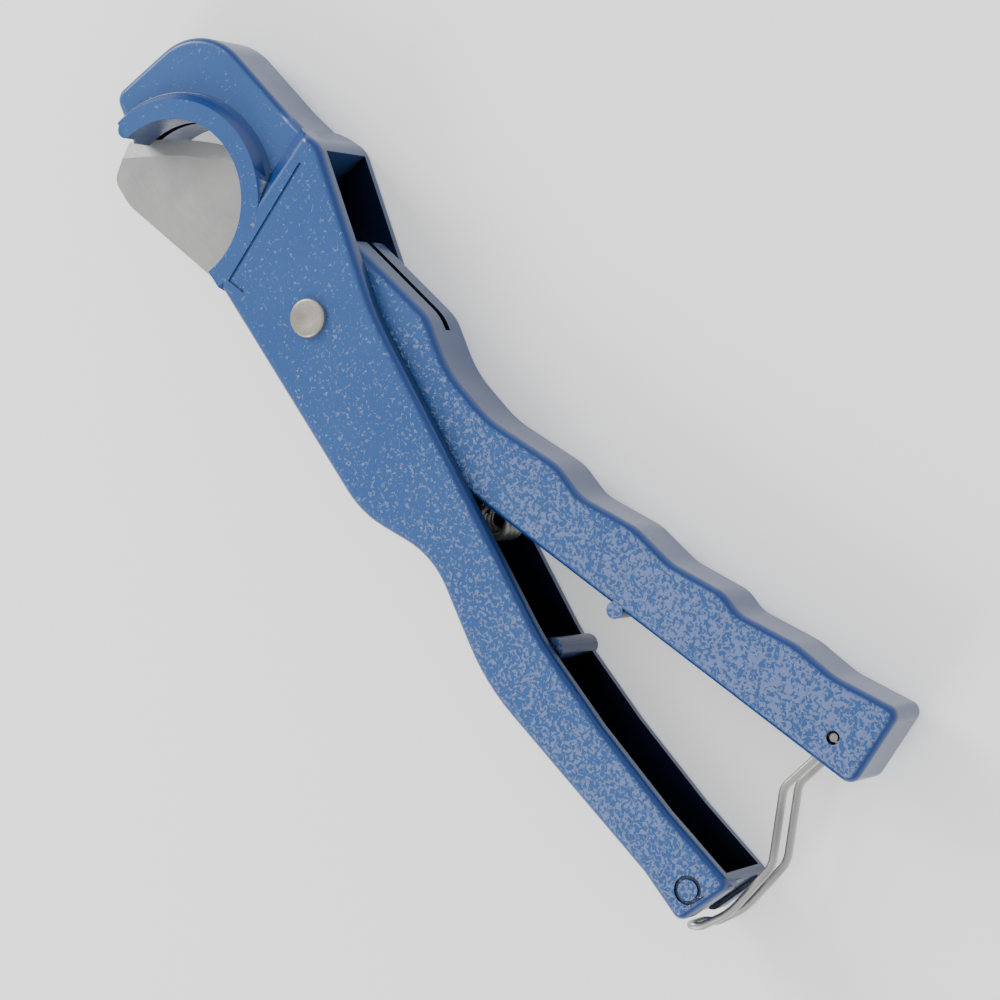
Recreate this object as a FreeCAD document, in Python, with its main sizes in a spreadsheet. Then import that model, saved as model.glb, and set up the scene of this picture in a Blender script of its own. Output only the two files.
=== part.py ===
"""One-hand plastic pipe cutter: hook-jawed body casting, moving handle casting with its blade,
pivot rivet, handle spring and wire bail latch.

The tool lies flat. The origin is on the pivot axis, in the plane of the far side face that the
tool rests on. +Z runs through the thickness, +X from the pivot along the fixed handle, and +Y
towards the moving handle. The pieces are drawn latched, as the tool is put away.
"""

import FreeCAD, Part
import math
import os

import Sketcher

VECTOR = FreeCAD.Vector

# Driving dimensions, in millimetres.
SIZES = {
    # body casting
    "body_width": 22.4,
    "wall": 3.2,
    "spine": 3.0,
    "belly": 13.9,
    "handle_length": 146.2,
    "edge_round": 1.9,
    "end_wall": 3.0,
    "end_recess": 1.0,
    "jaw_radius": 17.7,
    "jaw_back": 40.2,
    "jaw_drop": 13.3,
    "hook_width": 15.2,
    "hook_reach": 11.2,
    "hook_crown": 14.0,
    "hook_round": 1.5,
    "tip_nub": 1.9,
    "rim_width": 4.1,
    "rim_draft": 2.2,
    "blade_slot": 2.2,
    "blade_slot_depth": 8.0,
    "stop_radius": 2.3,
    # moving handle casting
    "side_gap": 0.3,
    "cheek": 2.8,
    "shell": 3.0,
    "eye_radius": 9.3,
    "handle_lead": 2.6,
    "slit": 2.0,
    "slit_end": 17.5,
    "nub_radius": 1.8,
    "lever_round": 2.0,
    # blade
    "blade_thickness": 1.6,
    "bevel_length": 3.5,
    "bevel_depth": 0.65,
    "pin_radius": 1.5,
    # pivot rivet
    "rivet_radius": 2.5,
    "rivet_head_radius": 4.1,
    "rivet_head_height": 1.2,
    "washer_radius": 5.0,
    "washer_height": 0.8,
    "tail_height": 1.0,
    "running_gap": 0.06,
    # spring
    "spring_wire": 1.7,
    "coil_radius": 3.5,
    "coil_gap": 0.3,
    "coil_x": 56.3,
    "coil_y": 7.6,
    "tip_x": 22.0,
    "upper_tip_y": 14.6,
    # bail
    "bail_wire": 1.7,
    "bail_spread": 7.8,
    "bail_hole": 1.4,
    "bail_inset": 12.5,
    "bail_height": 45.8,
    "bail_bend": 1.6,
}


class Size:
    """A length that knows both its number and the spreadsheet expression that gives it."""

    def __init__(self, value, text):
        self.value = float(value)
        self.text = text

    def __add__(self, other):
        other = size(other)
        return Size(self.value + other.value, f"({self.text} + {other.text})")

    def __sub__(self, other):
        other = size(other)
        return Size(self.value - other.value, f"({self.text} - {other.text})")

    def __mul__(self, other):
        other = size(other)
        return Size(self.value * other.value, f"({self.text} * {other.text})")

    def __truediv__(self, other):
        other = size(other)
        return Size(self.value / other.value, f"({self.text} / {other.text})")

    def __neg__(self):
        return Size(-self.value, f"(0 - {self.text})")

    def __radd__(self, other):
        return size(other) + self

    def __rsub__(self, other):
        return size(other) - self

    def __rmul__(self, other):
        return size(other) * self


def size(what):
    """A Size from a cell's name, a plain number or a Size."""
    if isinstance(what, Size):
        return what
    if isinstance(what, str):
        return Size(SIZES[what], f"Sizes.{what}")
    return Size(what, f"{what:.6g}")


doc = FreeCAD.newDocument("pipe_cutter")
sheet = doc.addObject("Spreadsheet::Sheet", "Sizes")
for row, (alias, number) in enumerate(SIZES.items(), start=1):
    sheet.set(f"A{row}", alias)
    sheet.set(f"B{row}", str(number))
    sheet.setAlias(f"B{row}", alias)
doc.recompute()


def bind(target, path, what):
    """Ties a property of an object to a length."""
    target.setExpression(path, size(what).text)


def origin_plane(body, role):
    """One of a body's own base planes."""
    return next(o for o in body.Origin.OriginFeatures if o.Role == role)


def new_sketch(body, name, height):
    """A sketch that lies across the thickness of the tool, at a height above the rest face."""
    sketch = body.newObject("Sketcher::SketchObject", name)
    sketch.AttachmentSupport = [(origin_plane(body, "XY_Plane"), "")]
    sketch.MapMode = "FlatFace"
    bind(sketch, "AttachmentOffset.Base.z", height)
    return sketch


def fix(sketch, kind, value, *where):
    """Adds a dimension to a sketch and ties it to a length."""
    value = size(value)
    index = sketch.addConstraint(Sketcher.Constraint(kind, *where, value.value))
    sketch.setExpression(f"Constraints[{index}]", value.text)


def draw_outline(sketch, corners):
    """Closes a polygon through its corners."""
    points = [VECTOR(size(x).value, size(y).value, 0) for x, y, _ in corners]
    sides = [
        sketch.addGeometry(Part.LineSegment(here, points[(i + 1) % len(points)]), False)
        for i, here in enumerate(points)
    ]
    for i, (x, y, _) in enumerate(corners):
        sketch.addConstraint(Sketcher.Constraint("Coincident", sides[i - 1], 2, sides[i], 1))
        fix(sketch, "DistanceX", x, -1, 1, sides[i], 1)
        fix(sketch, "DistanceY", y, -1, 1, sides[i], 1)


def edges_where(shape, test):
    """The names of the edges of a shape that pass a test."""
    return [f"Edge{i}" for i, e in enumerate(shape.Edges, start=1) if test(e)]


def flat_at(edge, height):
    """Whether an edge lies at one height."""
    box = edge.BoundBox
    return abs(box.ZMin - height) < 1e-3 and abs(box.ZMax - height) < 1e-3


def upright_at(edge, x, y):
    """Whether an edge stands through the thickness at a corner of an outline."""
    box = edge.BoundBox
    return box.ZLength > 0.5 and all(abs(v.X - x) + abs(v.Y - y) < 1e-3 for v in edge.Vertexes)


def dress(body, kind, name, edges, **lengths):
    """A fillet or a chamfer on the named edges of a body."""
    base = body.Tip
    feature = body.newObject(f"PartDesign::{kind}", name)
    feature.Base = (base, edges)
    for path, what in lengths.items():
        bind(feature, path, what)
    doc.recompute()
    return feature


LEAST_TURN = 7.0


def turn_at(corners, place):
    """How far an outline turns at one of its corners, in degrees."""
    spots = [VECTOR(size(x).value, size(y).value, 0) for x, y, _ in corners]
    here, ahead = spots[place], spots[(place + 1) % len(spots)]
    return math.degrees((here - spots[place - 1]).getAngle(ahead - here))


def plate(name, corners, low, high):
    """A body padded from a polygon of corners (x, y, radius), whose corners are then rounded."""
    body = doc.addObject("PartDesign::Body", name)
    sketch = new_sketch(body, name + "_outline", low)
    draw_outline(sketch, corners)
    pad = body.newObject("PartDesign::Pad", name + "_pad")
    pad.Profile = sketch
    bind(pad, "Length", size(high) - low)
    doc.recompute()
    corners = [
        (x, y, r if r is not None and turn_at(corners, i) > LEAST_TURN else None)
        for i, (x, y, r) in enumerate(corners)
    ]
    radii = {size(r).text: r for _, _, r in corners if r is not None}
    for number, (text, radius) in enumerate(radii.items(), start=1):
        spots = [
            (size(x).value, size(y).value)
            for x, y, r in corners
            if r is not None and size(r).text == text
        ]
        edges = edges_where(body.Shape, lambda e: any(upright_at(e, *spot) for spot in spots))
        dress(body, "Fillet", f"{name}_corners_{number}", edges, Radius=radius)
    return body


def turned(name, corners):
    """A body turned about the pivot axis from a half section of corners (radius, height)."""
    body = doc.addObject("PartDesign::Body", name)
    sketch = body.newObject("Sketcher::SketchObject", name + "_section")
    sketch.AttachmentSupport = [(origin_plane(body, "XZ_Plane"), "")]
    sketch.MapMode = "FlatFace"
    draw_outline(sketch, [(r, z, None) for r, z in corners])
    turn = body.newObject("PartDesign::Revolution", name + "_turn")
    turn.Profile = sketch
    turn.ReferenceAxis = (sketch, ["V_Axis"])
    turn.Angle = 360
    doc.recompute()
    return body


def cylinder(name, x, y, low, high, radius):
    """A round bar or bore through the thickness."""
    bar = doc.addObject("Part::Cylinder", name)
    bind(bar, "Radius", radius)
    bind(bar, "Height", size(high) - low)
    bind(bar, "Placement.Base.x", x)
    bind(bar, "Placement.Base.y", y)
    bind(bar, "Placement.Base.z", low)
    return bar


def cone(name, x, y, low, high, low_radius, high_radius):
    """A taper about an axis through the thickness."""
    taper = doc.addObject("Part::Cone", name)
    bind(taper, "Radius1", low_radius)
    bind(taper, "Radius2", high_radius)
    bind(taper, "Height", size(high) - low)
    bind(taper, "Placement.Base.x", x)
    bind(taper, "Placement.Base.y", y)
    bind(taper, "Placement.Base.z", low)
    return taper


def block(name, low, high):
    """A box between two opposite corners."""
    box = doc.addObject("Part::Box", name)
    for path, axis, start, end in zip(("Length", "Width", "Height"), "xyz", low, high):
        bind(box, path, size(end) - start)
        bind(box, f"Placement.Base.{axis}", start)
    return box


def fuse(name, pieces):
    """Several shapes as one."""
    joined = doc.addObject("Part::MultiFuse", name)
    joined.Shapes = pieces
    return joined


def combine(kind, name, base, tool):
    """A cut or a common of two shapes."""
    result = doc.addObject(f"Part::{kind}", name)
    result.Base = base
    result.Tool = tool
    return result


nodes = []


def node(name, thing):
    """Names a finished sub-part."""
    thing.Label = name
    nodes.append(thing)


# ---------------------------------------------------------------- levels through the thickness
ZERO = size(0)
BEYOND = 2.0
width = size("body_width")
middle = width / 2
wall = size("wall")
channel_low, channel_high = wall, width - wall
hook_low = middle - size("hook_width") / 2
hook_high = middle + size("hook_width") / 2
lever_low = channel_low + "side_gap"
lever_high = channel_high - "side_gap"
cavity_low, cavity_high = lever_low + "cheek", lever_high - "cheek"
blade_low = middle - size("blade_thickness") / 2
blade_high = middle + size("blade_thickness") / 2

tail = size("handle_length")
belly = size("belly")
jaw_x, jaw_y = -size("jaw_back"), -size("jaw_drop")
jaw_radius = size("jaw_radius")
jaw_left, jaw_top = jaw_x - jaw_radius, jaw_y + jaw_radius
jaw_right = jaw_x + jaw_radius

# ---------------------------------------------------------------- body casting
# The two side walls, with the grip's swell under the fingers and the foot at its end.
front_top = (jaw_x + 5.6, jaw_top + 15.5, None)
front_low = (jaw_right - 2.4, -belly, None)
belly_line = [
    (tail * 0.2715, -belly, 23.0),
    (tail * 0.3858, -belly + 8.7, 20.0),
    (tail * 0.576, -belly + 3.7, 50.0),
    (tail * 0.9166, -belly + 11.8, None),
]
foot = [(tail, -belly + 12.4, 2.0), (tail, 12.4, 2.1)]
wall_top = [
    (tail * 0.87, 9.2, None),
    (tail * 0.72, 6.8, None),
    (tail * 0.575, 5.7, 61.0),
    (8.0, 12.8, 60.0),
    (jaw_x + 11.8, jaw_top + 18.1, 6.0),
]
sides = plate("side_walls", [front_top, front_low, *belly_line, *foot, *wall_top], ZERO, width)


def on_front(edge):
    """Whether an edge belongs to the straight front of the walls, where they step to the hook."""
    return edge.BoundBox.XMax < front_low[0].value + 1e-3 and edge.BoundBox.YLength > 20.0


def on_faces(edge):
    """Whether an edge lies in one of the two outer faces."""
    return flat_at(edge, 0) or flat_at(edge, width.value)


dress(
    sides,
    "Chamfer",
    "front_step",
    edges_where(sides.Shape, lambda e: on_faces(e) and on_front(e)),
    Size=hook_low - 0.2,
)
dress(
    sides,
    "Fillet",
    "side_rounds",
    edges_where(sides.Shape, lambda e: on_faces(e) and not on_front(e) and e.Length > 1.0),
    Radius="edge_round",
)

# The hook that reaches round the pipe, thinner than the walls, and the round nub at its tip.
hook_left = jaw_left - "hook_reach"
tip_y = jaw_y - 2.0
hook = plate(
    "hook",
    [
        (hook_left, jaw_top + size("hook_crown") - 4.4, 14.0),
        (hook_left, tip_y + 2.2, 3.0),
        (jaw_left - 1.0, tip_y, None),
        (jaw_right - 2.0, tip_y, None),
        (jaw_right - 2.0, jaw_top + 11.0, None),
        (jaw_x + 12.0, jaw_top + size("hook_crown") + 3.0, None),
        (jaw_x - 0.8, jaw_top + "hook_crown", None),
    ],
    hook_low,
    hook_high,
)


def on_hook_back(edge):
    """Whether an edge runs round the outside of the hook, in one of its faces."""
    box = edge.BoundBox
    outside = box.YMin > jaw_top.value + 5 or box.XMax < jaw_left.value - 1.5
    in_face = flat_at(edge, hook_low.value) or flat_at(edge, hook_high.value)
    return in_face and outside


dress(hook, "Fillet", "hook_rounds", edges_where(hook.Shape, on_hook_back), Radius="hook_round")
nub_x = jaw_left - 3.4
tip_nub = cylinder("tip_nub", nub_x, tip_y + 0.3, hook_low, hook_high, "tip_nub")

# The raised rims round the jaw, one on each face, which run from the walls to the hook's tip.
rim_face = jaw_radius + "rim_width"
rim_foot = rim_face + "rim_draft"
rims = fuse(
    "rim_tapers",
    [
        cone("rim_taper_low", jaw_x, jaw_y, ZERO, hook_low + 0.5, rim_face, rim_foot),
        cone("rim_taper_high", jaw_x, jaw_y, hook_high - 0.5, width, rim_foot, rim_face),
    ],
)
rim_space = block(
    "rim_space",
    (jaw_x - rim_foot - BEYOND, jaw_y - 0.8, -BEYOND),
    (jaw_x + rim_foot, jaw_y + rim_foot + BEYOND, width + BEYOND),
)
jaw_rims = combine("Common", "jaw_rims", rims, rim_space)

# The hollow between the walls: open on top, and open below the head where the blade swings out.
mouth_end = size(8.0)
inner_end = tail - "end_wall"
above = jaw_top + 25.0
channel = plate(
    "channel",
    [
        (jaw_right - 4.9, above, None),
        (jaw_right - 3.0, jaw_top - 7.8, None),
        (jaw_right - 3.0, -belly - BEYOND * 2, None),
        (mouth_end, -belly - BEYOND * 2, None),
        (mouth_end, -belly + "spine", None),
        *[(x, y + "spine", r) for x, y, r in belly_line],
        (inner_end, -belly + 12.0 + "spine", None),
        (inner_end, above, None),
    ],
    channel_low,
    channel_high,
)

slot_radius = jaw_radius + "blade_slot_depth"
slot_low, slot_high = middle - size("blade_slot") / 2, middle + size("blade_slot") / 2
jaw_gap = cylinder("jaw_gap", jaw_x, jaw_y, -BEYOND, width + BEYOND, jaw_radius)
blade_groove = cylinder("blade_groove", jaw_x, jaw_y, slot_low, slot_high, slot_radius)
rivet_bore = cylinder("rivet_bore", 0, 0, -BEYOND, width + BEYOND, "rivet_radius")
washer_seat = cylinder(
    "washer_seat", 0, 0, -BEYOND, size("tail_height") + "washer_height", size("washer_radius") + 0.1
)
foot_recess = block(
    "foot_recess",
    (tail - "end_recess", -belly, middle - 5.2),
    (tail + BEYOND, belly + BEYOND, middle + 5.2),
)

# Moulded marks on the upper face: a ring groove at the foot and a plain bracket line on the head.
GROOVE = 0.6
ring_x, ring_y = tail - 4.2, size(4.3)
ring = combine(
    "Cut",
    "ring_groove",
    cylinder("ring_outside", ring_x, ring_y, width - GROOVE, width + BEYOND, 2.9),
    cylinder("ring_inside", ring_x, ring_y, width - 2 * GROOVE, width + 2 * BEYOND, 2.1),
)
bracket = plate(
    "bracket_line",
    [
        (-27.7, 16.8, None),
        (-18.1, -11.3, None),
        (-13.8, -9.8, None),
        (-14.0, -9.2, None),
        (-17.7, -10.5, None),
        (-27.1, 17.0, None),
    ],
    width - 0.3,
    width + BEYOND,
)

body_blank = fuse("body_blank", [sides, hook, tip_nub, jaw_rims])
body_hollows = fuse(
    "body_hollows",
    [channel, jaw_gap, blade_groove, rivet_bore, washer_seat, foot_recess, ring, bracket],
)
body_shell = combine("Cut", "body_shell", body_blank, body_hollows)

# The stop for the moving handle stands across the channel on the spine.
stop_x = tail * 0.588
stop_bar = cylinder("stop_bar", stop_x, 5.0, wall - 2.0, channel_high - 1.6, "stop_radius")
stop_web = block(
    "stop_web",
    (stop_x - 1.2, -belly + 6.0, wall - 0.5),
    (stop_x + 1.2, size(5.0), channel_high - 1.6),
)
body_casting = fuse("body_casting", [body_shell, stop_bar, stop_web])
node("body", body_casting)

# ---------------------------------------------------------------- moving handle casting
eye = size("eye_radius")
lever_end = tail - "handle_lead"
slope = 0.3511
eye_corner = eye * (math.sqrt(1 + slope**2) + slope)
under_x = size(46.3)
under_y = under_x * slope - eye * math.sqrt(1 + slope**2)
waves = [
    (26.5, 18.2, 25.0),
    (40.0, 20.1, 25.1),
    (tail * 0.3865, 27.5, 12.0),
    (tail * 0.4412, 28.0, 10.0),
    (tail * 0.5233, 34.4, 10.1),
    (tail * 0.5937, 36.7, 12.1),
    (tail * 0.6724, 42.9, 8.0),
    (tail * 0.7011, 42.7, 8.1),
    (tail * 0.7832, 49.5, 12.2),
    (tail * 0.8482, 52.5, 14.0),
]
lever_top = size(60.1)
lever_blank = plate(
    "lever_blank",
    [
        (-eye, -eye_corner, eye),
        (under_x, under_y, None),
        (lever_end, 43.1, 2.6),
        (lever_end - 6.4, lever_top, 2.2),
        *reversed(waves),
        (14.5, 20.9, 10.0),
        (-eye, 15.6, 1.6),
    ],
    lever_low,
    lever_high,
)
dress(
    lever_blank,
    "Fillet",
    "lever_rounds",
    edges_where(
        lever_blank.Shape,
        lambda e: flat_at(e, lever_low.value) or flat_at(e, lever_high.value),
    ),
    Radius="lever_round",
)

# It is cast hollow behind the blade, open underneath, with a closed end.
cavity_start = size("slit_end") + 2.0
lever_cavity = plate(
    "lever_cavity",
    [
        (cavity_start, -14.0, None),
        (lever_end - 2.0, 34.0, None),
        (lever_end - 9.6, lever_top - 4.6, 2.2),
        *[(x, size(y) - "shell", r) for x, y, r in reversed(waves)],
        (cavity_start, 19.7 - size("shell"), None),
    ],
    cavity_low,
    cavity_high,
)
blade_slit = block(
    "blade_slit",
    (-eye - BEYOND, -eye - 8.0, middle - size("slit") / 2),
    ("slit_end", 30.0, middle + size("slit") / 2),
)
lever_bore = cylinder(
    "lever_bore", 0, 0, ZERO, width, size("rivet_radius") + "running_gap"
)
PIN_SPOTS = [(12.5, 2.5), (3.5, 9.8)]
pin_bores = [
    cylinder(f"pin_bore_{i}", x, y, ZERO, width, "pin_radius")
    for i, (x, y) in enumerate(PIN_SPOTS, start=1)
]
bail_x, bail_y = tail - "bail_inset", size("bail_height")
bail_bore = cylinder("bail_bore", bail_x, bail_y, ZERO, width, "bail_hole")
lever_hollows = fuse(
    "lever_hollows", [lever_cavity, blade_slit, lever_bore, *pin_bores, bail_bore]
)
lever_shell = combine("Cut", "lever_shell", lever_blank, lever_hollows)
nub_y = size(21.3)
lever_nub = cylinder(
    "lever_nub", tail * 0.5985, nub_y, lever_low + 0.4, lever_high - 0.4, "nub_radius"
)
lever_casting = fuse("lever_casting", [lever_shell, lever_nub])
node("moving_handle", lever_casting)

# ---------------------------------------------------------------- blade
# A ground plate with a convex edge, a straight back and a tang held in the handle's slit.
blade_plate = plate(
    "blade_plate",
    [
        (jaw_left - 4.1, jaw_y - 6.0, None),
        (jaw_left + 0.7, jaw_y - 13.6, 3.5),
        (jaw_left + 7.4, jaw_y - 13.7, 10.0),
        (jaw_right - 2.2, jaw_y - 5.6, None),
        (-6.0, -10.5, None),
        (12.0, -3.0, 3.0),
        (15.5, 15.5, 2.5),
        (-7.0, 12.0, 4.0),
        (jaw_right - 2.5, jaw_top + 1.6, None),
        (jaw_x + 0.2, jaw_top + 0.6, None),
        (jaw_left + 5.1, jaw_y + 7.7, jaw_radius * 4.0),
    ],
    blade_low,
    blade_high,
)


def on_edge(edge, level):
    """Whether an edge belongs to the cutting edge, in the blade's face at a level."""
    box = edge.BoundBox
    before_back = box.XMax < jaw_x.value + 0.3 and box.YMin > jaw_y.value - 6.1
    return flat_at(edge, level.value) and before_back


for side, level, flipped in (("under", blade_low, True), ("over", blade_high, False)):
    grind = dress(
        blade_plate,
        "Chamfer",
        f"grind_{side}",
        edges_where(blade_plate.Shape, lambda e: on_edge(e, level)),
        Size="bevel_depth",
        Size2="bevel_length",
    )
    grind.ChamferType = "Two distances"
    grind.FlipDirection = flipped
    doc.recompute()
blade_bores = fuse(
    "blade_bores",
    [
        cylinder("blade_bore", 0, 0, ZERO, width, size("rivet_radius") + "running_gap"),
        *[
            cylinder(f"tang_bore_{i}", x, y, ZERO, width, "pin_radius")
            for i, (x, y) in enumerate(PIN_SPOTS, start=1)
        ],
    ],
)
blade_ground = combine("Cut", "blade_ground", blade_plate, blade_bores)
node("blade", blade_ground)

pins = fuse(
    "pin_pair",
    [
        cylinder(f"tang_pin_{i}", x, y, lever_low, lever_high, "pin_radius")
        for i, (x, y) in enumerate(PIN_SPOTS, start=1)
    ],
)
node("blade_pins", pins)

# ---------------------------------------------------------------- pivot rivet and washer
head_top = width + "rivet_head_height"
rivet = turned(
    "rivet_turning",
    [
        (ZERO, ZERO),
        (size("washer_radius") - 1.6, ZERO),
        (size("washer_radius") - 1.2, size("tail_height") * 0.5),
        (size("washer_radius") - 1.2, size("tail_height")),
        (size("rivet_radius"), size("tail_height")),
        (size("rivet_radius"), width),
        (size("rivet_head_radius"), width),
        (size("rivet_head_radius"), head_top - 0.5),
        (size("rivet_head_radius") - 0.5, head_top),
        (ZERO, head_top),
    ],
)
node("pivot_rivet", rivet)
washer = turned(
    "washer_turning",
    [
        (size("rivet_radius"), size("tail_height")),
        (size("washer_radius"), size("tail_height")),
        (size("washer_radius"), size("tail_height") + "washer_height"),
        (size("rivet_radius"), size("tail_height") + "washer_height"),
    ],
)
node("rivet_washer", washer)

# ---------------------------------------------------------------- handle spring
# One torsion spring of round wire. Its two arms point back to the pivot: the lower one bears on
# the spine, the upper one on the roof of the moving handle. Each arm carries half of the coil.
spring_wire = SIZES["spring_wire"]
coil = VECTOR(SIZES["coil_x"], SIZES["coil_y"], SIZES["body_width"] / 2)
lower_tip_y = SIZES["spine"] - SIZES["belly"] + spring_wire / 2 + SIZES["side_gap"]
lower_tip = VECTOR(SIZES["tip_x"], lower_tip_y, 0)
upper_tip = VECTOR(SIZES["tip_x"] + 0.5, SIZES["upper_tip_y"], 0)
coil_room = SIZES["body_width"] - 2 * (SIZES["wall"] + SIZES["side_gap"] + SIZES["cheek"])
PART_TURN = 0.42
WHOLE_TURNS = int(
    (coil_room - spring_wire - SIZES["coil_gap"]) / (spring_wire + SIZES["coil_gap"]) - PART_TURN
)
SPLIT = 40.0


def leaving_angle(tip, side):
    """Where round the coil the arm to a tip leaves it: side is -1 below and +1 above."""
    away = VECTOR(tip.x - coil.x, tip.y - coil.y, 0)
    bearing = math.degrees(math.atan2(away.y, away.x))
    return bearing - side * math.degrees(math.acos(SIZES["coil_radius"] / away.Length))


def round_bar(start, end, radius):
    """A round bar between two points."""
    return Part.makeCylinder(radius, (end - start).Length, start, end - start)


def spring_half(tip, side):
    """One arm of the spring with its half of the coil."""
    first = leaving_angle(lower_tip, -1)
    last = leaving_angle(upper_tip, 1)
    turns = ((last - first) % 360) / 360 + WHOLE_TURNS
    pitch = spring_wire + SIZES["coil_gap"]
    span = turns * 360 / 2 - SPLIT / 2
    helix = Part.makeHelix(pitch, pitch * span / 360, SIZES["coil_radius"])
    base = coil.z - pitch * turns / 2
    start = VECTOR(SIZES["coil_radius"], 0, 0)
    rise = pitch / (2 * math.pi)
    profile = Part.Wire(
        Part.makeCircle(spring_wire / 2, start, VECTOR(0, SIZES["coil_radius"], rise))
    )
    half = Part.Wire(helix.Edges).makePipeShell([profile], True, True)
    half.translate(VECTOR(coil.x, coil.y, base))
    half.rotate(VECTOR(coil.x, coil.y, 0), VECTOR(0, 0, 1), first)
    if side > 0:
        half.rotate(VECTOR(coil.x, coil.y, coil.z), VECTOR(1, 0, 0), 180)
        half.rotate(VECTOR(coil.x, coil.y, 0), VECTOR(0, 0, 1), first + last)
    angle = math.radians(first if side < 0 else last)
    level = coil.z + side * pitch * turns / 2
    leaves = VECTOR(
        coil.x + SIZES["coil_radius"] * math.cos(angle),
        coil.y + SIZES["coil_radius"] * math.sin(angle),
        level,
    )
    ends = VECTOR(tip.x, tip.y, level)
    arm = round_bar(leaves, ends, spring_wire / 2)
    knuckle = Part.makeSphere(spring_wire / 2, leaves)
    return half.fuse([arm, knuckle])


for name, tip, side in (("lower", lower_tip, -1), ("upper", upper_tip, 1)):
    half_spring = doc.addObject("Part::Feature", f"spring_{name}")
    half_spring.Shape = spring_half(tip, side)
    node(f"spring_{name}_arm", half_spring)

# ---------------------------------------------------------------- wire bail
# A bent wire loop whose ends turn outwards into the handle's cheeks. It hangs past the end of the
# tool, and its crossbar hooks under the foot to hold the handles shut.


def bent_path(points):
    """Straight runs joined by tangent arcs through points (x, y, z, radius)."""
    spots = [VECTOR(x, y, z) for x, y, z, _ in points]
    edges = []
    here = spots[0]
    for before, corner, after, (_, _, _, radius) in zip(spots, spots[1:], spots[2:], points[1:]):
        back = (before - corner).normalize()
        ahead = (after - corner).normalize()
        half = back.getAngle(ahead) / 2
        reach = radius / math.tan(half)
        inward = (back + ahead).normalize()
        middle_of_arc = corner + inward * (radius / math.sin(half) - radius)
        start, end = corner + back * reach, corner + ahead * reach
        edges.append(Part.LineSegment(here, start).toShape())
        edges.append(Part.Arc(start, middle_of_arc, end).toShape())
        here = end
    edges.append(Part.LineSegment(here, spots[-1]).toShape())
    return Part.Wire(edges)


def bent_wire(points, radius):
    """A round wire swept along a bent path."""
    path = bent_path(points)
    first, second = VECTOR(*points[0][:3]), VECTOR(*points[1][:3])
    profile = Part.Wire(Part.makeCircle(radius, first, second - first))
    return path.makePipeShell([profile], True, False)


foot_x = SIZES["handle_length"]
foot_y = 12.4 - SIZES["belly"]
hinge_x, hinge_y = foot_x - SIZES["bail_inset"], SIZES["bail_height"]
half_spread = SIZES["bail_spread"] / 2
mid_level = SIZES["body_width"] / 2
hole_level = mid_level - SIZES["body_width"] / 2 + SIZES["wall"] + SIZES["side_gap"] + 0.4
bend = SIZES["bail_bend"]
leg = [
    (hinge_x, hinge_y, bend),
    (hinge_x + 1.7, hinge_y - 15.6, 4.0),
    (foot_x + 0.6, foot_y + 20.6, 6.0),
    (foot_x + 3.3, foot_y + 7.6, 14.0),
    (foot_x + 2.2, foot_y + 0.9, 3.0),
    (foot_x + 0.6, foot_y - 1.3, bend),
]
near_leg = [(x, y, mid_level - half_spread, r) for x, y, r in leg]
far_leg = [(x, y, mid_level + half_spread, r) for x, y, r in reversed(leg)]
bail_points = [
    (hinge_x, hinge_y, hole_level, 0),
    *near_leg,
    *far_leg,
    (hinge_x, hinge_y, SIZES["body_width"] - hole_level, 0),
]
bail_loop = doc.addObject("Part::Feature", "bail_loop")
bail_loop.Shape = bent_wire(bail_points, SIZES["bail_wire"] / 2)
node("bail", bail_loop)

# ---------------------------------------------------------------- check and write
doc.recompute()
faults = [o.Label for o in doc.Objects if "Invalid" in o.State or "Error" in o.State]
if faults:
    raise RuntimeError(f"features failed: {faults}")
for thing in nodes:
    shape = thing.Shape
    if shape.isNull() or not shape.isValid():
        raise RuntimeError(f"{thing.Label} has no valid shape")

os.makedirs("parts", exist_ok=True)
for thing in nodes:
    thing.Shape.exportStep(f"parts/{thing.Label}.step")
    print(f"{thing.Label}: {len(thing.Shape.Solids)} solid, {thing.Shape.Volume / 1000:.2f} cm3")
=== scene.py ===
"""One-hand plastic pipe cutter, lying flat on a pale table."""

import math

import bmesh
import bpy
from mathutils import Matrix, Vector


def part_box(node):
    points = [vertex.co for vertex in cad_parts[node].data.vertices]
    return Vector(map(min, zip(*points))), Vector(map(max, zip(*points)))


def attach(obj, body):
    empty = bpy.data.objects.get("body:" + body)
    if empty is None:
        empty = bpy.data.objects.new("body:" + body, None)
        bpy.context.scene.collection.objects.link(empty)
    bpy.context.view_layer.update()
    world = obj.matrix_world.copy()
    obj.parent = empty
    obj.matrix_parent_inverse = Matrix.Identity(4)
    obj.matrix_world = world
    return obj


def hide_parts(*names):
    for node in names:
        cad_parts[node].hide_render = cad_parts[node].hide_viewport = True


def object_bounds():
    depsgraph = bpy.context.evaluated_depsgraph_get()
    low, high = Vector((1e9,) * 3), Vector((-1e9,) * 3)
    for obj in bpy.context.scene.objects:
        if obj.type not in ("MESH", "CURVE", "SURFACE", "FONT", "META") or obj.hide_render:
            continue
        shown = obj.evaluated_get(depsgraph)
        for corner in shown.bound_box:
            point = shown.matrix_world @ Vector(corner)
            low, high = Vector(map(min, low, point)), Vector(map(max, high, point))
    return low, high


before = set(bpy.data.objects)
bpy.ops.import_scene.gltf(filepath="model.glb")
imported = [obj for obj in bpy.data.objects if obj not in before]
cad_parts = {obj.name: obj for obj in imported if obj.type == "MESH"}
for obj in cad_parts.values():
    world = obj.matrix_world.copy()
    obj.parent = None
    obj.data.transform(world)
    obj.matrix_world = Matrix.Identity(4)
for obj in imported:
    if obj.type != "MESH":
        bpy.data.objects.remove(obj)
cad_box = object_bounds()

# The camera looks down on the tool from beyond its foot, with the jaw away from it and the
# handles running towards the lower right corner.
camera_data = bpy.data.cameras.new("camera")
camera_data.lens = 118.8
camera_data.sensor_width = 36.0
camera_data.clip_end = 20.0
camera = bpy.data.objects.new("camera", camera_data)
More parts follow.
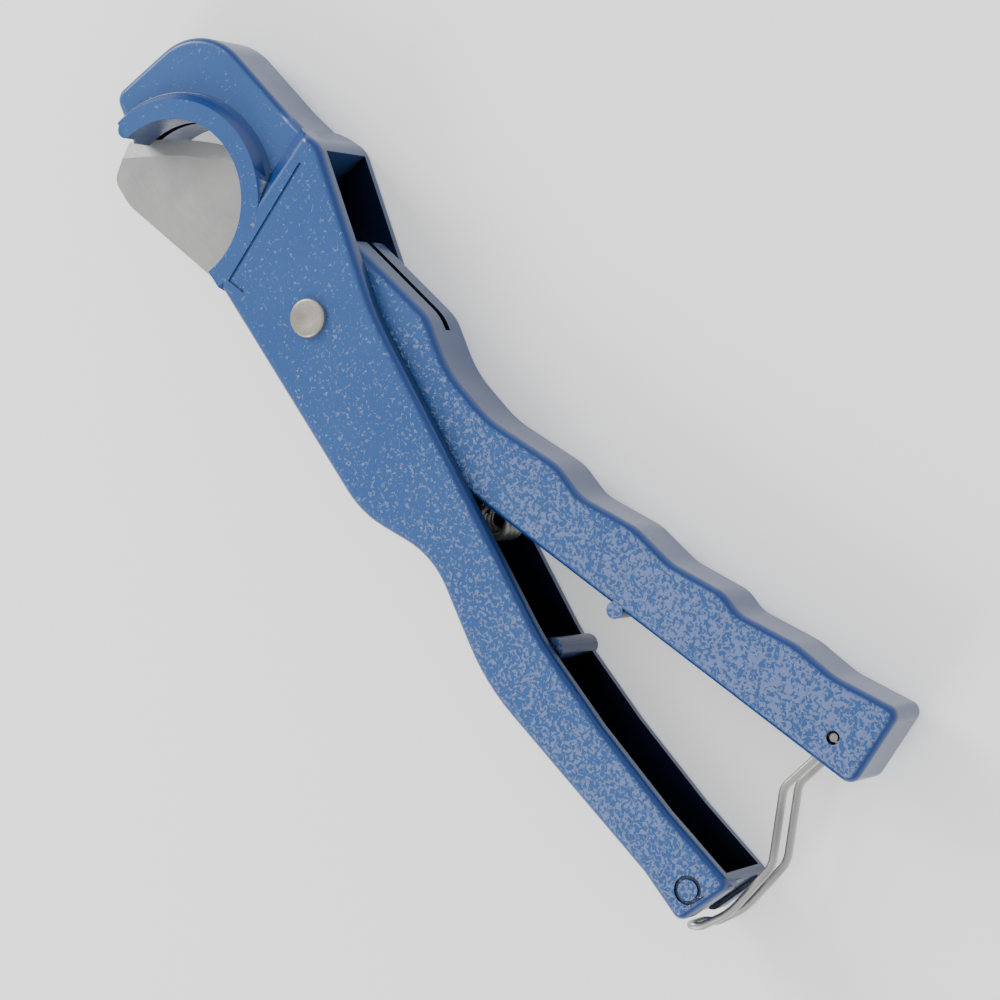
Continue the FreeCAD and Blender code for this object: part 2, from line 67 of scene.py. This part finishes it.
bpy.context.scene.collection.objects.link(camera)
standing = Vector((0.22213, 0.27091, 0.61110))
aim = Vector((0.05298, 0.00983, 0.01120))
screen_right = Vector((0.51469, 0.72352, -0.46001))
sight = (aim - standing).normalized()
screen_up = screen_right.cross(sight).normalized()
screen_right = sight.cross(screen_up)
camera.matrix_world = Matrix.Translation(standing) @ Matrix(
    (screen_right, screen_up, -sight)
).transposed().to_4x4()
bpy.context.scene.camera = camera


# The table top is a plain pale sheet, and the light is a white room with two soft boxes, placed
# so that the flat faces stay clear of their reflections and only rounds and ridges glint.
def new_material(name, **values):
    """A Principled material with constants on its own sockets, its nodes and its shader."""
    material = bpy.data.materials.new(name)
    material.use_nodes = True
    shader = material.node_tree.nodes["Principled BSDF"]
    for socket, value in values.items():
        shader.inputs[socket.replace("_", " ")].default_value = value
    return material, material.node_tree, shader


def add(tree, kind, inputs=(), **settings):
    """One more node, with its settings and with values or links on its inputs by name or number."""
    made = tree.nodes.new("ShaderNode" + kind)
    for key, value in settings.items():
        setattr(made, key, value)
    for key, value in dict(inputs).items():
        if isinstance(value, bpy.types.NodeSocket):
            tree.links.new(value, made.inputs[key])
        else:
            made.inputs[key].default_value = value
    return made


def join(tree, output, shader, socket):
    """Feeds one of the shader's sockets."""
    tree.links.new(output, shader.inputs[socket])


def mixed(tree, share, first, second):
    """Two colours mixed by a share. Each is three numbers or another node's output."""
    made = add(tree, "Mix", {0: share}, data_type="RGBA")
    for letter, colour in zip("AB", (first, second)):
        if isinstance(colour, bpy.types.NodeSocket):
            tree.links.new(colour, made.inputs[letter])
        else:
            made.inputs[letter].default_value = (*colour, 1)
    return made.outputs["Result"]


TABLE_SIDE = 6.0
TABLE_GREYS = ((0.90, 0.90, 0.90), (0.93, 0.93, 0.93))
TABLE_GLOW = 0.4
bpy.ops.object.select_all(action="DESELECT")
bpy.ops.mesh.primitive_plane_add(size=TABLE_SIDE, location=(0, 0, 0))
table_top = bpy.context.active_object
table_top.name = "table_top"
paper, paper_tree, paper_shader = new_material(
    "pale_table", Roughness=0.75, Emission_Color=(1, 1, 1, 1), Emission_Strength=TABLE_GLOW
)
table_grain = add(paper_tree, "TexNoise", {"Scale": 40.0, "Detail": 3.0})
table_tone = mixed(paper_tree, table_grain.outputs[0], *TABLE_GREYS)
join(paper_tree, table_tone, paper_shader, "Base Color")
table_top.data.materials.append(paper)


BOX_DISTANCE, BOX_SIDE = 1.2, 0.45
ROOM_LIGHT = 0.95


def soft_box(name, towards, power):
    """A square area light that shines at the middle of the tool."""
    data = bpy.data.lights.new(name, "AREA")
    data.size = BOX_SIDE
    data.energy = power
    lamp = bpy.data.objects.new(name, data)
    bpy.context.scene.collection.objects.link(lamp)
    direction = Vector(towards).normalized()
    lamp.location = aim + direction * BOX_DISTANCE
    lamp.rotation_euler = direction.to_track_quat("Z", "Y").to_euler()


soft_box("jaw_box", (-0.85, -0.20, 0.50), 9.0)
soft_box("foot_box", (0.35, -0.85, 0.62), 7.0)
world = bpy.data.worlds.new("studio")
bpy.context.scene.world = world
world.use_nodes = True
world.node_tree.nodes["Background"].inputs["Color"].default_value = (1, 1, 1, 1)
world.node_tree.nodes["Background"].inputs["Strength"].default_value = ROOM_LIGHT


# The fixed handle and its head are one hollow aluminium casting, open on top, under a glossy
# hammertone enamel: sparse flecks on the head and close worm-shaped ridges on the grip.
WELD = 1e-6
SAME_PLANE = math.radians(0.4)
FACES_RULE = 100


def skin_of(node_name, angle=35.0):
    """A copy of a CAD node as one closed skin, smooth over its rounds and flat on its faces."""
    piece = bpy.data.objects.new(node_name + "_skin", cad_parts[node_name].data.copy())
    bpy.context.scene.collection.objects.link(piece)
    piece.data.materials.clear()
    bpy.ops.object.select_all(action="DESELECT")
    bpy.context.view_layer.objects.active = piece
    piece.select_set(True)
    bpy.ops.object.mode_set(mode="EDIT")
    bpy.ops.mesh.select_all(action="SELECT")
    bpy.ops.mesh.remove_doubles(threshold=WELD)
    bpy.ops.mesh.dissolve_limited(angle_limit=SAME_PLANE)
    bpy.ops.object.mode_set(mode="OBJECT")
    bpy.ops.object.shade_smooth_by_angle(angle=math.radians(angle))
    even = piece.modifiers.new("even", "WEIGHTED_NORMAL")
    even.keep_sharp = True
    even.weight = FACES_RULE
    bpy.ops.object.modifier_apply(modifier=even.name)
    return piece


def place(piece, material, body, node):
    """Gives a finished piece its material and its body, and hides the CAD node that it stands for.
    """
    piece.data.materials.append(material)
    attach(piece, body)
    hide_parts(node)


mid_height = (cad_box[0][2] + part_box("body")[1][2]) / 2
FACE_BLUES = ((0.020, 0.076, 0.250), (0.028, 0.098, 0.290))
# The deeper blue for the rounds is painted shade.
ROUND_SHADE_BLUE = (0.001, 0.036, 0.180)
# The greyer blue for the upright sides is a painted reflection.
SIDE_REFLECTION_BLUE = (0.014, 0.038, 0.115)
# The pale fleck grey is partly the enamel's own fleck tone and partly painted reflection.
FLECK_AND_GLINT_GREY = (0.22, 0.27, 0.47)
# The near-black navy for the faces turned into the hollow is painted shade.
HOLLOW_SHADE_NAVY = (0.0015, 0.008, 0.035)
FLECK_AND_GLINT_SHARE = 0.55
RIDGE_SOFTNESS = 0.20
RIDGE_SCALE, PEEL_SCALE, CLOUD_SCALE, PATCH_SCALE = 1350.0, 300.0, 38.0, 60.0
RIDGE_HEIGHT, PEEL_HEIGHT = 0.00014, 0.0003
# Reach of the ambient occlusion that paints shade into the colour of the hollow.
HOLLOW_SHADE_REACH = 0.02
SMOOTHLY = {"interpolation_type": "SMOOTHSTEP"}


def enamel(name, from_x, to_x, fewest, most):
    """Hammertone enamel whose pale ridges close up along the handle from one place to another;
    their pale tone is partly the enamel's own fleck and partly painted reflection, and painted
    shade and reflection tint the rounds, sides and hollow.
    """
    material, tree, shader = new_material(
        name, Roughness=0.3, IOR=1.45, Coat_Weight=0.15, Coat_Roughness=0.15
    )
    where = add(tree, "TexCoord").outputs["Object"]
    along = add(tree, "SeparateXYZ", {0: where})
    facing = add(tree, "SeparateXYZ", {0: add(tree, "NewGeometry").outputs["True Normal"]})
    depth = add(tree, "Math", {0: along.outputs["Z"], 1: mid_height}, operation="SUBTRACT")
    side = add(tree, "Math", {0: depth.outputs[0]}, operation="SIGN")
    outward = add(
        tree, "Math", {0: facing.outputs["Z"], 1: side.outputs[0]}, operation="MULTIPLY"
    )
    level = add(tree, "Math", {0: facing.outputs["Z"]}, operation="ABSOLUTE")
    flat = add(tree, "MapRange", {0: outward.outputs[0], 1: 0.80, 2: 0.98}, **SMOOTHLY)
    inner = add(tree, "MapRange", {0: outward.outputs[0], 1: -0.3, 2: -0.8})
    upright = add(tree, "MapRange", {0: level.outputs[0], 1: 0.45, 2: 0.05}, **SMOOTHLY)

    # The ridges stand where a fine noise passes a level, and the level falls along the handle.
    start = add(
        tree, "MapRange", {0: along.outputs["X"], 1: from_x, 2: to_x, 3: fewest, 4: most}
    )
    patches = add(tree, "TexNoise", {"Vector": where, "Scale": PATCH_SCALE, "Detail": 2.0})
    uneven = add(tree, "MapRange", {0: patches.outputs[0], 1: 0.3, 2: 0.7, 3: 0.015, 4: -0.015})
    low = add(tree, "Math", {0: start.outputs[0], 1: uneven.outputs[0]}, operation="ADD")
    high = add(tree, "Math", {0: low.outputs[0], 1: RIDGE_SOFTNESS}, operation="ADD")
    worms = add(
        tree,
        "TexNoise",
        {"Vector": where, "Scale": RIDGE_SCALE, "Detail": 0.4, "Distortion": 0.8},
    )
    ridge = add(
        tree,
        "MapRange",
        {0: worms.outputs[0], 1: low.outputs[0], 2: high.outputs[0]},
        **SMOOTHLY,
    )
    height = add(tree, "Math", {0: ridge.outputs[0], 1: flat.outputs[0]}, operation="MULTIPLY")

    # Painted shade makes the colour deeper on the rounds and near black inside, and a painted
    # reflection makes the upright sides greyer. The pale ridge tone is partly the enamel's own
    # fleck and partly painted reflection.
    cloud = add(tree, "TexNoise", {"Vector": where, "Scale": CLOUD_SCALE, "Detail": 3.0})
    face = mixed(tree, cloud.outputs[0], *FACE_BLUES)
    # Painted shade: the rounds take the deeper blue.
    edge = mixed(tree, flat.outputs[0], ROUND_SHADE_BLUE, face)
    # Painted reflection: the upright sides turn greyer.
    side_reflected = mixed(tree, upright.outputs[0], edge, SIDE_REFLECTION_BLUE)
    # The ridges take the pale grey, partly the enamel's fleck and partly painted reflection.
    fleck_and_glint = add(tree, "Math", {0: height.outputs[0], 1: FLECK_AND_GLINT_SHARE}, operation="MULTIPLY")
    flecked_and_glinting = mixed(tree, fleck_and_glint.outputs[0], side_reflected, FLECK_AND_GLINT_GREY)
    # Painted shade: the faces turned into the hollow go near black.
    inside_shaded = mixed(tree, inner.outputs[0], flecked_and_glinting, HOLLOW_SHADE_NAVY)
    # Ambient occlusion darkens the colour in the hollow and creases: painted shade.
    hollow = add(
        tree, "AmbientOcclusion", {"Distance": HOLLOW_SHADE_REACH}, only_local=True, samples=8
    )
    shade = add(tree, "MapRange", {0: hollow.outputs["AO"], 1: 0.38, 2: 0.72, 3: 0.02, 4: 1.0})
    final = add(
        tree, "VectorMath", {0: inside_shaded, "Scale": shade.outputs[0]}, operation="SCALE"
    )
    join(tree, final.outputs[0], shader, "Base Color")
    gloss = add(tree, "MapRange", {0: cloud.outputs[0], 1: 0.3, 2: 0.7, 3: 0.26, 4: 0.38})
    join(tree, gloss.outputs[0], shader, "Roughness")
    peel = add(tree, "TexNoise", {"Vector": where, "Scale": PEEL_SCALE, "Detail": 2.0})
    skin = add(
        tree, "Bump", {"Height": peel.outputs[0], "Strength": 0.12, "Distance": PEEL_HEIGHT}
    )
    relief = add(
        tree,
        "Bump",
        {"Height": height.outputs[0], "Normal": skin.outputs[0], "Strength": 0.9,
         "Distance": RIDGE_HEIGHT},
    )
    join(tree, relief.outputs[0], shader, "Normal")
    return material


body_skin = skin_of("body")
place(body_skin, enamel("body_enamel", -0.045, 0.110, 0.68, 0.42), "body", "body")

# The moving handle is the second casting: a hollow lever with finger waves on its outer side,
# slit for the blade, and hung on the pivot rivet between the walls of the first.
lever_skin = skin_of("moving_handle")
place(
    lever_skin,
    enamel("lever_enamel", 0.010, 0.090, 0.55, 0.37),
    "moving_handle",
    "moving_handle",
)


# The blade is a flat plate of tool steel, ground to an edge along its front. It sits in the
# lever's slit and turns with it.
SMUDGE_SCALE = 85.0
SCRATCH_DEPTH = 0.0001
DULLEST = 0.14


def steel(name, pale, dark, roughness, grain, stretch, metal=0.85):
    """Bare steel with fine lines, drawn out along one direction, and faint smudges."""
    material, tree, shader = new_material(name, Metallic=metal, IOR=1.8)
    where = add(tree, "TexCoord").outputs["Object"]
    drawn = add(tree, "Mapping", {"Vector": where, "Scale": stretch})
    lines = add(
        tree, "TexNoise", {"Vector": drawn.outputs[0], "Scale": grain, "Detail": 3.0}
    )
    smudges = add(tree, "TexNoise", {"Vector": where, "Scale": SMUDGE_SCALE, "Detail": 4.0})
    worn = add(tree, "MapRange", {0: smudges.outputs[0], 1: 0.38, 2: 0.66}, **SMOOTHLY)
    join(tree, mixed(tree, worn.outputs[0], pale, dark), shader, "Base Color")
    dull = add(
        tree,
        "MapRange",
        {0: lines.outputs[0], 1: 0.3, 2: 0.7, 3: roughness, 4: roughness + DULLEST},
    )
    join(tree, dull.outputs[0], shader, "Roughness")
    scratch = add(
        tree, "Bump", {"Height": lines.outputs[0], "Strength": 0.12, "Distance": SCRATCH_DEPTH}
    )
    join(tree, scratch.outputs[0], shader, "Normal")
    return material


blade_skin = skin_of("blade", 12.0)
blade_metal = steel(
    "blade_metal", (0.37, 0.37, 0.36), (0.31, 0.31, 0.31), 0.38, 1400.0, (0.25, 1, 1), 0.55
)
place(blade_skin, blade_metal, "moving_handle", "blade")

# Two plain steel pins, pressed through the lever's cheeks, hold the blade. Their ends are flush
# with the cheeks, between the walls of the fixed handle.
pin_metal = steel("pin_metal", (0.55, 0.54, 0.52), (0.40, 0.39, 0.37), 0.35, 1500.0, (1, 1, 1))
pin_skin = skin_of("blade_pins")
place(pin_skin, pin_metal, "moving_handle", "blade_pins")

# The pivot rivet has a low round head with a soft rim and a shallow dish, and its tail is
# spread over a washer in the far wall.
rivet_metal = steel(
    "rivet_metal", (0.44, 0.41, 0.37), (0.30, 0.27, 0.24), 0.36, 1300.0, (1, 1, 0.3)
)
rivet_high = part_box("pivot_rivet")[1]
washer_low, washer_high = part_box("rivet_washer")
head_radius = rivet_high[0]
head_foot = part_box("body")[1][2]
SHANK_RADIUS = 0.0025
WASHER_SHOWS = 0.0012
tail_radius = washer_high[0] - WASHER_SHOWS
RIM_ROUND = 0.0006
DISH_DEPTH, DISH_RADIUS, DISH_SLOPE = 0.00018, 0.0021, 0.35
FLARE_SHARE, TAIL_DRAFT = 0.4, 0.84
bpy.ops.object.select_all(action="DESELECT")
bpy.ops.mesh.primitive_cylinder_add(
    vertices=96, radius=head_radius, depth=rivet_high[2] - head_foot,
    location=(0, 0, (rivet_high[2] + head_foot) / 2),
)
rivet = bpy.context.active_object
rivet.name = "pivot_rivet_turned"
bpy.ops.object.transform_apply(location=True, rotation=True, scale=True)


def choose(piece, test):
    """In edit mode, picks only the faces whose middle passes a test."""
    shape = bmesh.from_edit_mesh(piece.data)
    shape.select_mode = {"FACE"}
    for face in shape.faces:
        face.select_set(test(face.calc_center_median()))
    shape.select_flush_mode()
    bmesh.update_edit_mesh(piece.data)


def at_height(height):
    """A test for faces that lie at one height."""
    return lambda middle: abs(middle.z - height) < 1e-6


bpy.ops.object.mode_set(mode="EDIT")
bpy.ops.mesh.select_mode(type="FACE")
choose(rivet, at_height(rivet_high[2]))
bpy.ops.mesh.bevel(offset=RIM_ROUND, segments=5, affect="EDGES")
choose(rivet, at_height(rivet_high[2]))
bpy.ops.mesh.inset(thickness=head_radius - RIM_ROUND - DISH_RADIUS)
bpy.ops.mesh.inset(thickness=DISH_RADIUS * DISH_SLOPE)
bpy.ops.transform.translate(value=(0, 0, -DISH_DEPTH))
choose(rivet, at_height(head_foot))
bpy.ops.mesh.inset(thickness=head_radius - SHANK_RADIUS)
spread = tail_radius / SHANK_RADIUS
for fall, growth in (
    (washer_low[2] - head_foot, 1.0),
    (-washer_low[2] * FLARE_SHARE, spread),
    (-washer_low[2] * (1 - FLARE_SHARE), TAIL_DRAFT),
):
    bpy.ops.mesh.extrude_region_move(TRANSFORM_OT_translate={"value": (0, 0, fall)})
    bpy.ops.transform.resize(value=(growth, growth, 1), center_override=(0, 0, 0))
bpy.ops.mesh.select_all(action="SELECT")
bpy.ops.mesh.normals_make_consistent(inside=False)
bpy.ops.object.mode_set(mode="OBJECT")
bpy.ops.object.shade_smooth_by_angle(angle=math.radians(40))
place(rivet, rivet_metal, "body", "pivot_rivet")

# The washer is a plain stamped ring under the rivet's tail, sunk in the far wall.
washer_skin = skin_of("rivet_washer")
place(washer_skin, rivet_metal, "body", "rivet_washer")

# The handle spring is one length of zinc-plated wire, wound into a coil between two legs.
wire_metal = steel("wire_metal", (0.40, 0.40, 0.39), (0.27, 0.27, 0.27), 0.34, 1800.0, (1, 1, 1))
lower_arm = skin_of("spring_lower_arm", 60.0)
place(lower_arm, wire_metal, "spring_lower", "spring_lower_arm")
upper_arm = skin_of("spring_upper_arm", 60.0)
place(upper_arm, wire_metal, "spring_upper", "spring_upper_arm")

# The bail is a loop of the same wire, sprung into two holes in the lever's end. It swings down
# over the foot of the fixed handle to hold the tool closed.
bail_wire = skin_of("bail", 60.0)
place(bail_wire, wire_metal, "bail", "bail")
